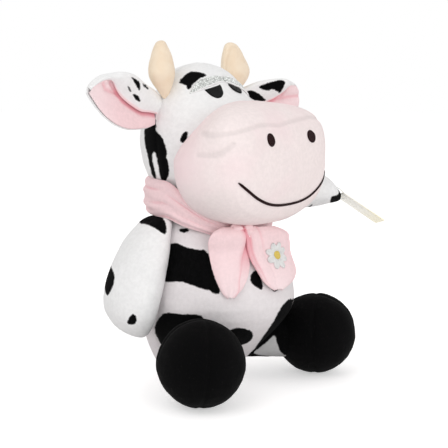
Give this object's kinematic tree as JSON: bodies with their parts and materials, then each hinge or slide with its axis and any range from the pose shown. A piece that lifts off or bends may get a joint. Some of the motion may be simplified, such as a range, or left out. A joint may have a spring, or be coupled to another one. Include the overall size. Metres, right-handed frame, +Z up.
{
  "type": "plush cow",
  "caption": "Sitting soft plush cow with a large muzzle, sewn face, horns, folded ears, hide spots, ball feet and a knotted scarf.",
  "frame": {"origin": "centre of the flat seat that the cow sits on", "axes": "+Z up, the cow faces -Y, its right side is -X"},
  "size_m": [0.3472, 0.2036, 0.3502],
  "materials": {
    "white_plush": "short white plush pile",
    "black_plush": "short black plush pile",
    "pink_plush": "short pale pink plush pile",
    "pink_fleece": "soft pink fleece",
    "horn_cloth": "cream brushed cloth",
    "brown_thread": "dark brown satin stitch",
    "black_thread": "black satin stitch",
    "silver_cloth": "silver grey glitter cloth",
    "polyester_fill": "loose polyester fibre",
    "pellet_cloth": "bag of small plastic pellets",
    "gold_thread": "golden yellow stitch",
    "cream_card": "matt card",
    "clear_loop": "clear plastic thread"
  },
  "bodies": {
    "torso": {"body_skin": "white_plush", "body_filling": "polyester_fill", "seat_pellet_bag": "pellet_cloth", "scarf_band": "pink_fleece", "scarf_knot": "pink_fleece"},
    "head": {"head_skin": "white_plush", "muzzle_skin": "pink_plush", "head_filling": "polyester_fill", "eye_right": "black_thread", "eye_left": "black_thread", "eyelid_right": "silver_cloth", "eyelid_left": "silver_cloth", "nostril_right": "brown_thread", "nostril_left": "brown_thread", "smile": "brown_thread", "horn_skin_right": "horn_cloth", "horn_skin_left": "horn_cloth", "horn_filling_right": "polyester_fill", "horn_filling_left": "polyester_fill"},
    "ear_right": {"ear_back_right": "white_plush", "ear_lining_right": "pink_fleece"},
    "ear_left": {"ear_back_left": "white_plush", "ear_lining_left": "pink_fleece"},
    "arm_right": {"arm_skin_right": "white_plush", "arm_filling_right": "polyester_fill"},
    "arm_left": {"arm_skin_left": "white_plush", "arm_filling_left": "polyester_fill", "tag_loop": "clear_loop"},
    "tag": {"hang_tag": "cream_card"},
    "leg_right": {"leg_skin_right": "white_plush", "foot_skin_right": "black_plush", "leg_filling_right": "polyester_fill"},
    "leg_left": {"leg_skin_left": "white_plush", "foot_skin_left": "black_plush", "leg_filling_left": "polyester_fill"},
    "tail": {"tail": "white_plush", "tail_tuft": "black_plush"},
    "scarf_tail_right": {"scarf_tail_right": "pink_fleece"},
    "scarf_tail_left": {"scarf_tail_left": "pink_fleece", "daisy_petals": "white_plush", "daisy_centre": "gold_thread"}
  },
  "joints": [
    {"name": "head_turn", "type": "hinge", "parent": "torso", "child": "head", "pos_m": [0, -0.012, 0.1873], "axis": [0, 0, 1], "range_deg": [-8, 8], "stiffness_Nm_per_rad": 0.3},
    {"name": "ear_right_flap", "type": "hinge", "parent": "head", "child": "ear_right", "pos_m": [-0.05535, -0.00507, 0.2813], "axis": [-0.1904, -0.013, -0.9816], "range_deg": [0, 30], "stiffness_Nm_per_rad": 0.02},
    {"name": "ear_left_flap", "type": "hinge", "parent": "head", "child": "ear_left", "pos_m": [0.05175, 0.00884, 0.2813], "axis": [-0.0487, 0.0193, 0.9986], "range_deg": [0, 30], "stiffness_Nm_per_rad": 0.02},
    {"name": "arm_right_raise", "type": "hinge", "parent": "torso", "child": "arm_right", "pos_m": [-0.05033, -0.005, 0.172], "axis": [0.0698, 0.9976, 0], "range_deg": [0, 52]},
    {"name": "arm_left_raise", "type": "hinge", "parent": "torso", "child": "arm_left", "pos_m": [0.05033, -0.005, 0.172], "axis": [-0.4695, -0.8829, 0], "range_deg": [-36, 0], "stiffness_Nm_per_rad": 0.1, "springref_deg": 17.19},
    {"name": "tag_swing", "type": "hinge", "parent": "arm_left", "child": "tag", "pos_m": [0.16363, -0.0703, 0.18162], "axis": [0.6134, 0.7639, -0.2006], "range_deg": [-15, 15]},
    {"name": "leg_right_lift", "type": "hinge", "parent": "torso", "child": "leg_right", "pos_m": [-0.06395, -0.07583, 0.078], "axis": [-0.579, 0.8154, 0], "range_deg": [0, 25]},
    {"name": "leg_left_lift", "type": "hinge", "parent": "torso", "child": "leg_left", "pos_m": [0.06395, -0.07583, 0.078], "axis": [-0.579, -0.8154, 0], "range_deg": [0, 25]},
    {"name": "tail_swing", "type": "hinge", "parent": "torso", "child": "tail", "pos_m": [0.032, 0.03957, 0.088], "axis": [0.3868, 0.8688, 0.309], "range_deg": [-15, 15]},
    {"name": "scarf_tail_right_lift", "type": "hinge", "parent": "torso", "child": "scarf_tail_right", "pos_m": [-0.02565, -0.08987, 0.15525], "axis": [-0.9336, 0.3584, 0], "range_deg": [0, 50]},
    {"name": "scarf_tail_left_lift", "type": "hinge", "parent": "torso", "child": "scarf_tail_left", "pos_m": [-0.00499, -0.09445, 0.15525], "axis": [-0.9976, 0.0698, 0], "range_deg": [0, 50]}
  ]
}
